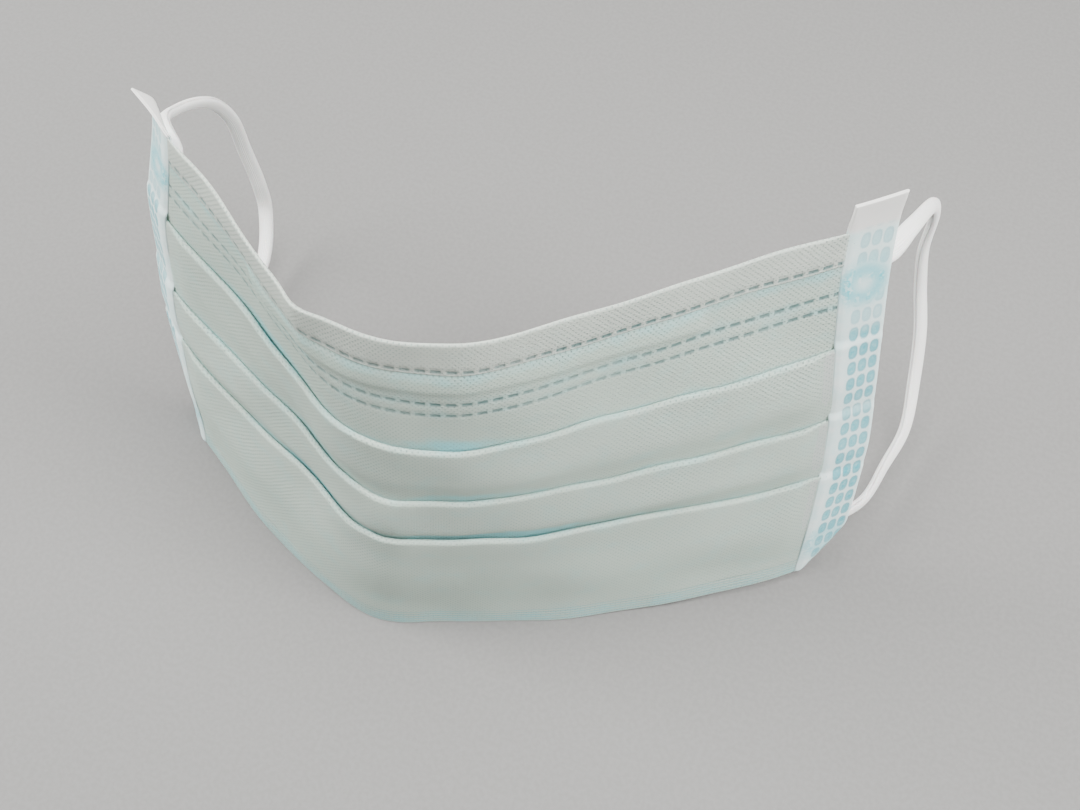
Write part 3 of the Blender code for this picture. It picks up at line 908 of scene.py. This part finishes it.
def ear_loop(label, side, route, twist, wider, finish):
    """Flat elastic from the upper fused spot round to the lower one, its first stretch wider."""
    s = side * (HALF - WELD_INSET)
    points = [place(s, WELD_UPPER + 2 * MM, -2.4 * MM), place(s, WELD_UPPER - 2 * MM, -3.6 * MM)]
    points += [np.array(p, float) * MM for p in route]
    points += [place(s, WELD_LOWER + 1 * MM, -4.0 * MM), place(s, WELD_LOWER - 3 * MM, -2.75 * MM)]
    centre, length = through([p.reshape(3) for p in points], LOOP_RINGS)
    tangent = np.gradient(centre, axis=0)
    tangent /= np.linalg.norm(tangent, axis=1, keepdims=True)
    share = np.linspace(0, 1, LOOP_RINGS)[:, None]
    angle = heading(np.array([s]))[0]
    along_hem = np.array((math.cos(angle), math.sin(angle), 0.0))
    wide, thin = loop_frame(tangent, along_hem, share, twist)
    run = share * length
    flat_end = 1 - smooth((np.minimum(run, length - run) - LOOP_END / 2) / LOOP_END)
    half_wide = (LOOP_WIDTH * (1 - flat_end) + LOOP_END_WIDTH * flat_end) / 2
    half_thin = (LOOP_THICK * (1 - flat_end) + LOOP_END_THICK * flat_end) / 2
    half_wide = half_wide * (1 + wider * smooth(1 - run / FIRST_REACH)
                             + LOOP_WAVER * np.sin(run / LOOP_WAVER_REACH))
    around = np.linspace(0, math.tau, LOOP_RING, endpoint=False)[None]
    across, height = (squared(wave(around), 2 / LOOP_POWER) for wave in (np.cos, np.sin))
    rib = LOOP_RIB * np.cos(around * LOOP_RIBS) * (1 - flat_end)
    rings = (centre[:, None] + wide[:, None] * ((half_wide + rib) * across)[..., None]
             + thin[:, None] * ((half_thin + rib) * height)[..., None])
    flat = np.stack(np.broadcast_arrays(run, around, 0.0), -1)
    made = add_mesh(f"ear_elastic_{label}", rings.reshape(-1, 3), tube_faces(LOOP_RINGS, LOOP_RING),
                    finish, flat=flat)
    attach(made, f"{label}_loop")
    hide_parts(f"ear_loop_{label}")


# ---- plies
HEM_BACK_ROWS = np.arange(1.2, 4.6, 0.3) * MM
FOLD_SHADE = 0.75  # shares of the cooler colour: painted shade and glow in the folds, the welded grooves' own tint, and cooler towards the bottom hem
GROOVE_TONE = 0.8
GROOVE_FUSED = 0.45
HEM_TONE = 0.25
EDGE_GLOW = 0.34  # painted cyan glow under the turned-over top edge
EDGE_BELOW = 1.4 * MM
EDGE_REACH = 1.8 * MM
HALO_GLOW = 0.22  # painted cyan glow round the lower dashes
HALO_REACH = 1.1 * MM
FILTER_COLUMNS = 6  # the filter keeps one column in so many
FILTER_TOP = 0.5 * MM
TURN_CLEAR = 0.02 * MM
INNER_CLEAR = 0.05 * MM
WIRE_RINGS = 120
WIRE_RING = 16
WIRE_HALF = 0.2 * MM
WIRE_MIDDLE = 0.22 * MM


def row_glow(s, t, top):
    """Painted cyan glow below the first row of dashes and round the others, in the first top rows."""
    under = t - dash_row(s, 0)
    tone = EDGE_GLOW * np.exp(-((under - EDGE_BELOW) / EDGE_REACH) ** 2)
    for row in (1, 2):
        halo = np.exp(-((t - dash_row(s, row)) / HALO_REACH) ** 2)
        tone = np.maximum(tone, HALO_GLOW * halo * (np.arange(len(t))[:, None] < top))
    return tone * (under > 0)


def build_outer(s, t, n, shade_and_tint, finish):
    """Outer ply, raised over the wire, its foot turned up behind the others."""
    line_t, line_n = shifted(t, n, PLY_OFFSET)
    top = len(upper_marks(s)[0])
    fused = np.zeros_like(t)
    fused[:top + 1] = dashes(s[None], t[:top + 1])
    bottom = t > HEIGHT - BOTTOM_HEM - MM
    bottom[:len(t) // 2] = False
    line_n[:top + 8] += welt(s[None], t[:top + 8])
    groove = np.where(bottom, grooves(t), 0)
    line_n = line_n - fused * DASH_DEPTH - groove * GROOVE_DEPTH
    foot_t, rear = [], []
    for turn in np.radians((60, 30, 0, -30, -60, -90)):
        foot_t.append(LOWEST + HEM_TURN * math.cos(turn) + 0 * s)
        rear.append(PLY_OFFSET - HEM_TURN + HEM_TURN * math.sin(turn) + 0 * s)
    for depth in HEM_BACK_ROWS:
        foot_t.append(HEIGHT - depth + 0 * s)
        rear.append(PLY_OFFSET - 2 * HEM_TURN + grooves(foot_t[-1]) * GROOVE_DEPTH)
    line_t = np.concatenate((line_t, foot_t))
    line_n = np.concatenate((line_n, rear))
    plain = np.zeros((len(foot_t), len(s)))
    groove = np.concatenate((groove, grooves(np.array(foot_t))))
    fused = np.maximum(np.concatenate((fused, plain)), GROOVE_FUSED * groove)
    # painted fold shade and glow, plus the real tint of the welded grooves and a cooler tint towards
    # the bottom hem
    tone = np.concatenate((shade_and_tint, plain)) * FOLD_SHADE + GROOVE_TONE * groove
    tone = tone + HEM_TONE * smooth((line_t - HEIGHT + BOTTOM_HEM) / (2 * MM))
    # painted cyan glow under the top hem's edge and round the lower dashes
    tone = np.maximum(tone, row_glow(s, line_t, top))
    # painted pocket shade and glow, only on the panel behind each pleat
    behind = line_n < 2 * FOLD_R + PLY_OFFSET
    tone = np.maximum(tone, pocket_shade(s, line_t) * behind)
    made = ply("outer_ply", s, line_t, line_n, PLY_HALF, fused, tone, finish)
    return made


def build_filter(s, t, n, finish):
    """Filter ply, hidden between the two others."""
    column = np.r_[0:len(s) - 1:FILTER_COLUMNS, len(s) - 1]
    t = t[:, column]
    t[0] += FILTER_TOP
    plain = np.zeros_like(t)
    made = ply("filter_ply", s[column], t, n[:, column], PLY_HALF * 0.7, plain, plain, finish)
    return made


def build_inner(s, t, n, finish):
    """Inner ply: starts as the turned-over top hem in front, then runs down the back."""
    line_t, line_n = shifted(t, n, -PLY_OFFSET)
    lift = PLY_OFFSET + HEM_LIFT
    radius = (lift + PLY_OFFSET) / 2
    top = len(upper_marks(s)[0])
    first = dash_row(s, 0)
    rows = [first + HEM_BELOW_DASH, first + DASH_HALF + DASH_EDGE, first + DASH_HALF - DASH_EDGE,
            first - DASH_HALF + DASH_EDGE, first - DASH_HALF - DASH_EDGE]
    rows += [rows[-1] * share for share in (0.85, 0.7, 0.55, 0.4, 0.25, 0.14)]
    hem_t, hem_n = list(rows), [lift + 0 * s for _ in rows]
    for turn in np.radians((90, 60, 30, 0, -30, -60)):
        hem_t.append(radius * (1 - math.cos(turn)) + TURN_CLEAR + 0 * s)
        hem_n.append(radius * math.sin(turn) + lift - radius + 0 * s)
    hem_t, hem_n = np.array(hem_t), np.array(hem_n)
    hem_fused = dashes(s[None], hem_t) * (np.arange(len(hem_t))[:, None] < len(rows))
    fused = np.zeros_like(t)
    fused[:top + 1] = dashes(s[None], t[:top + 1])
    line_t[1] = np.maximum(line_t[1], radius + INNER_CLEAR)
    line_n = line_n + fused * DASH_DEPTH / 2
    line_t = np.concatenate((hem_t, line_t[1:]))
    line_n = np.concatenate((hem_n - hem_fused * HEM_DASH_DEPTH, line_n[1:]))
    fused = np.concatenate((hem_fused, fused[1:]))
    made = ply("inner_ply", s, line_t, line_n, PLY_HALF, fused, np.zeros_like(fused), finish)
    return made


def build_wire(finish):
    """Nose wire: a flat coated strip between the outer ply and the filter."""
    s = np.linspace(-WIRE_LENGTH / 2, WIRE_LENGTH / 2, WIRE_RINGS)[:, None]
    around = np.linspace(0, math.tau, WIRE_RING, endpoint=False)[None]
    t = WIRE_DEPTH + WIRE_WIDTH / 2 * squared(np.cos(around), 0.5)
    n = WIRE_MIDDLE + WIRE_HALF * squared(np.sin(around), 0.8)
    rings = place(s, t, MID_N + n)
    flat = np.stack(np.broadcast_arrays(s, t, 0.0), -1)
    made = add_mesh("nose_wire", rings.reshape(-1, 3), tube_faces(WIRE_RINGS, WIRE_RING), finish,
                    flat=flat)
    return made


# ---- side tapes
TAILS = {  # height above the top edge at the tape's inner side and outer side, lean forward
    "left": (0.8 * MM, 5.0 * MM, 5.0 * MM),
    "right": (6.5 * MM, 7.2 * MM, 0.6 * MM),
}
DOT_COLUMNS = 3
DOT_PITCH_S = 2.25 * MM
DOT_PITCH_T = 4.35 * MM
DOT_WIDTH = 1.95 * MM
DOT_HEIGHT = 3.6 * MM
OVAL_POWER = 2.6
DOT_MARGIN = 2.65 * MM
DOT_DEPTH = 0.05 * MM
TAPE_HALF = 0.12 * MM
TAPE_CLEAR = 0.16 * MM
TAPE_ROW = 0.35 * MM
TAPE_SEAT = 1.4 * MM
TAPE_SINK = 0.20 * MM
TAIL_HALF = 0.16 * MM
TAPE_ROUND = 0.35 * MM
TAPE_TURN = 0.3 * MM
TAPE_COLUMN = 0.46 * MM
TAIL_CLOSE = 5 * MM  # the channel is pressed flat within this height above the top edge
TAIL_ROWS = 24
LAMINATE_BACK = PACKED * (PLY_OFFSET * 3 + PLY_HALF)  # behind its middle, under the tapes
SPOT_RINGS = 26
SPOT_SIDES = 64
SPOT_BEHIND = 0.35 * MM
SPOT_THICK = 0.18 * MM
SPOT_HEIGHT = 0.16 * MM
WAFFLE_HEIGHT = 0.10 * MM
WAFFLE_PITCH = 1.5 * MM


def dot_shape(across, t):
    """About 1 inside a fused oval of the tape and 0 outside; 0.5 on its edge."""
    column = (across - DOT_MARGIN) / DOT_PITCH_S
    du = ((column % 1) - 0.5) * DOT_PITCH_S / (DOT_WIDTH / 2)
    dv = ((t / DOT_PITCH_T % 1) - 0.5) * DOT_PITCH_T / (DOT_HEIGHT / 2)
    away = (np.abs(du) ** OVAL_POWER + np.abs(dv) ** OVAL_POWER) ** (1 / OVAL_POWER)
    inside = (column > 0) & (column < DOT_COLUMNS)
    return np.where(inside, np.clip(0.5 + (1 - away) * 1.6, 0, 1), 0)


def stack_front(t, side):
    """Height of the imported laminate's front under the tape, over its middle line."""
    marks = [m[0] for m in creases(np.array([side * HALF]))] + [HEIGHT]
    height = np.zeros_like(t)
    for top, below in zip(marks, marks[1:]):
        end = below - MM
        hold = top + PLEAT_DEPTH
        fall = 1 - smooth((t - hold) / max(end - hold, MM))
        here = smooth((t - top + 2.4 * MM) / (1.9 * MM)) * np.where(t < end, fall, 0)
        height = np.maximum(height, here)
    return height * 4 * FOLD_R


def tape_front(across, stack, above):
    """Height of the channel's front, sunk into the cloth at its inner edge and flat in the tail."""
    clear = TAPE_CLEAR - (TAPE_CLEAR + TAPE_SINK) * (1 - smooth(across / TAPE_SEAT))
    high = MID_N + float(pack(HALF - TAPE_WIDTH + across)) * stack + clear
    return high * (1 - above) + (MID_N + TAIL_HALF) * above


def tape_outline(side, t):
    """Place along the hem, height and way across of the channel's middle, column by column."""
    above = smooth(-t / TAIL_CLOSE)
    stack = PLY_OFFSET + PLY_HALF + HEM_LIFT + stack_front(t, side)
    low = MID_N - LAMINATE_BACK - TAPE_CLEAR
    low = low * (1 - above) + (MID_N - TAIL_HALF) * above
    inner = HALF - TAPE_WIDTH
    ways = np.arange(0, TAPE_WIDTH + 1e-9, TAPE_COLUMN)
    columns = [(inner + across, tape_front(across, stack, above), across) for across in ways]
    high = tape_front(TAPE_WIDTH, stack, above)
    for turn in np.radians((60, 30, 0, -30, -60)):
        columns.append((HALF + TAPE_ROUND * math.cos(turn),
                        (high + low) / 2 + (high - low) / 2 * math.sin(turn), TAPE_WIDTH + TAPE_TURN))
    columns += [(inner + across, low, across) for across in ways[::-1]]
    if side < 0:
        columns.reverse()
    s, n, across = (np.stack([part + 0 * t for part in parts], -1) for parts in zip(*columns))
    return side * s, n, across


def tape_tones(across, down, tail):
    """Round rosette over the fused spots, and how strong the ovals' colour is."""
    upper, lower = (np.hypot(across - (TAPE_WIDTH - WELD_INSET), down - depth)
                    for depth in (WELD_UPPER, WELD_LOWER))
    clear = (1 - tail) * smooth((upper - 4.6 * MM) / (0.6 * MM))
    ring = np.exp(-((upper - 3.1 * MM) / (2.0 * MM)) ** 2)
    ring = np.maximum(ring, 0.6 * np.exp(-((lower - 3.0 * MM) / (2.4 * MM)) ** 2))
    ink = 0.50 + 0.5 * smooth((down - 21 * MM) / (4 * MM))
    ink = ink - 0.4 * np.exp(-((down - 45 * MM) / (2.2 * MM)) ** 2)
    ink = ink - 0.35 * smooth((down - 78 * MM) / (12 * MM))
    return ring, ink * clear, clear


def side_tape(label, side, finish):
    """Channel of tape round the sheet's end, its tail pressed flat above the top edge."""
    tail_inner, tail_outer, tail_lean = TAILS[label]
    t = np.concatenate((np.linspace(-tail_outer, 0, TAIL_ROWS, endpoint=False),
                        np.arange(0, HEIGHT + 0.15 * MM, TAPE_ROW)))
    s, n, across = tape_outline(side, t)
    depth = t[:, None]
    slant = np.clip(-depth / tail_outer, 0, 1) * (tail_outer - tail_inner)
    down = depth + slant * (1 - across / TAPE_WIDTH)
    tail = smooth(-down / (2 * MM) + 0.3)
    ring, ink, clear = tape_tones(across, down, tail)
    dot = dot_shape(across, down)
    pressed = DOT_DEPTH * dot * clear
    lean = tail_lean * smooth(-down / (8 * MM))
    edge_s, edge_n = np.gradient(s, axis=1), np.gradient(n, axis=1)
    size = np.hypot(edge_s, edge_n) + 1e-12
    front, back = (place(s - edge_n / size * off, down, n + edge_s / size * off + lean)
                   for off in (TAPE_HALF - pressed, -TAPE_HALF - pressed * 0.3))
    made = slab(f"binding_tape_{label}", front, back, finish,
                {"rosette": ring, "tail": tail, "ink": ink}, np.stack((across, down, dot), -1))
    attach(made, f"{label}_wing")
    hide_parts(f"side_tape_{label}")


def weld_spot(label, level, side, depth, finish):
    """Round fused spot with a pressed waffle, behind the tape."""
    radius = np.linspace(0.02, 1, SPOT_RINGS)[:, None] * WELD_DIAMETER / 2
    angle = np.linspace(0, math.tau, SPOT_SIDES + 1)[None]
    x, y = radius * np.cos(angle), radius * np.sin(angle)
    waffle = np.cos(x * math.tau / WAFFLE_PITCH) * np.cos(y * math.tau / WAFFLE_PITCH)
    rim = smooth((WELD_DIAMETER / 2 - radius) / (0.5 * MM))
    height = (SPOT_HEIGHT + WAFFLE_HEIGHT * waffle) * rim
    s = side * (HALF - WELD_INSET) + x
    base = MID_N - LAMINATE_BACK - TAPE_CLEAR - SPOT_BEHIND
    back = place(s, depth + y, base - height)
    front = place(s, depth + y, base + SPOT_THICK)
    made = slab(f"fused_spot_{level}_{label}", front, back, finish,
                {"pressed": (1 - waffle) / 2}, np.stack((x, y, 0 * x), -1))
    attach(made, f"{label}_wing")
    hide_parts(f"loop_weld_{level}_{label}")


# ---- stage
FLOOR_SIZE = 3.0  # metres to both sides and to the front
FLOOR_RISE = 1.6  # where the floor is turned up behind
FLOOR_RADIUS = 0.8
FLOOR_COLUMNS = 5
FLOOR_ROWS = 8
FLOOR_TURNS = 24
LIGHTS = (  # name, place, target, size, power in watts, colour
    ("overhead", (0.03, 0.12, 0.56), (0.01, 0.03, 0.05), (0.45, 0.35), 5.8, (1.0, 0.99, 0.97)),
    ("room_light", (0, 0.2, 2.6), (0, 0.2, 0), (3.0, 3.0), 34.0, (1.0, 0.99, 0.98)),
    ("right_box", (0.70, 0.00, 0.50), (0, 0.03, 0.05), (0.5, 0.5), 13.5, (1.0, 1.0, 0.98)),
    ("left_box", (-0.70, -0.08, 0.50), (0, 0.03, 0.05), (0.5, 0.5), 16.0, (1.0, 1.0, 0.98)),
)
ROOM_COLOUR = (0.96, 0.98, 0.99, 1)
ROOM_STRENGTH = 0.16


def add_stage(finish):
    """Wide pale floor, turned up far behind."""
    turn = np.linspace(0.1, math.pi / 2, FLOOR_TURNS)
    x = np.linspace(-FLOOR_SIZE, FLOOR_SIZE, FLOOR_COLUMNS)
    y = np.concatenate((np.linspace(-FLOOR_SIZE, FLOOR_RISE, FLOOR_ROWS),
                        FLOOR_RISE + FLOOR_RADIUS * np.sin(turn)))[:, None]
    z = np.concatenate((np.zeros(FLOOR_ROWS), FLOOR_RADIUS * (1 - np.cos(turn))))[:, None]
    grid = np.stack(np.broadcast_arrays(x, y, z + CAD_BOX[0][2]), -1)
    faces = grid_faces(len(y), FLOOR_COLUMNS, 0, flip=True)
    add_mesh("floor", grid.reshape(-1, 3), faces, finish)


def area_light(name, place_at, target, size, power, colour):
    data = bpy.data.lights.new(name, "AREA")
    data.shape = "RECTANGLE"
    data.size, data.size_y = size
    data.energy = power
    data.color = colour
    made = bpy.data.objects.new(name, data)
    made.location = place_at
    made.rotation_euler = (Vector(target) - Vector(place_at)).to_track_quat("-Z", "Y").to_euler()
    bpy.context.scene.collection.objects.link(made)


def add_lights():
    """Soft boxes close by, a broad light far above and a little light from all round."""
    for light in LIGHTS:
        area_light(*light)
    world = bpy.data.worlds.new("soft_room")
    world.use_nodes = True
    background = world.node_tree.nodes["Background"]
    background.inputs["Color"].default_value = ROOM_COLOUR
    background.inputs["Strength"].default_value = ROOM_STRENGTH
    bpy.context.scene.world = world


LOOPS = (  # name, side, route, twist, how much wider the first stretch is
    ("left", -1, LEFT_ROUTE, math.radians(25), 0.0),
    ("right", 1, RIGHT_ROUTE, math.radians(60), 0.55),
)
# each pair: the ply's pale colour, and the cooler colour that painted fold and pocket shade and glow,
# grooves, hem tint and mottling blend towards
OUTER_COLOURS = (0.785, 0.865, 0.805, 1), (0.55, 0.93, 0.96, 1)
INNER_COLOURS = (0.83, 0.862, 0.815, 1), (0.72, 0.84, 0.82, 1)
FILTER_COLOURS = (0.88, 0.90, 0.89, 1), (0.80, 0.90, 0.92, 1)
FOLD_BLEND = 20 * MM  # two points this far to each side of the nose fold are worked out in main but not used


def main():
    """Camera and loops first, then the plies, the wire and what is fixed to them."""
    add_camera()
    elastic = elastic_finish()
    for loop in LOOPS:
        ear_loop(*loop, elastic)

    outer_look = nonwoven("outer_spunbond_look", *OUTER_COLOURS, 0.62)
    inner_look = nonwoven("inner_spunbond_look", *INNER_COLOURS, 0.60)
    filter_look = nonwoven("meltblown_look", *FILTER_COLOURS, 0.68)
    s = dash_columns()
    t, n, shade_and_tint = middle_line(s)
    start, end = (point(FOLD_S + way * FOLD_BLEND, HEIGHT / 2, 0) for way in (-1, 1))
    plies = (
        (build_outer(s, t, n, shade_and_tint, outer_look), "outer_layer", BOTTOM_HEM),
        (build_filter(s, t, n, filter_look), "filter_layer", 0),
        (build_inner(s, t, n, inner_look), "inner_layer", DASH_ROWS[0][0]),
    )
    for made, node_name, hem in plies:
        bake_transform(made)
        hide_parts(f"{node_name}_left", f"{node_name}_right")
    wire = build_wire(coating_finish())
    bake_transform(wire)
    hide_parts("nose_wire_left", "nose_wire_right")

    spot = weld_finish()
    for label, side in (("left", -1), ("right", 1)):
        side_tape(label, side, tape_finish(f"binding_tape_look_{label}"))
        for level, depth in (("upper", WELD_UPPER), ("lower", WELD_LOWER)):
            weld_spot(label, level, side, depth, spot)

    add_stage(floor_finish())
    add_lights()


main()
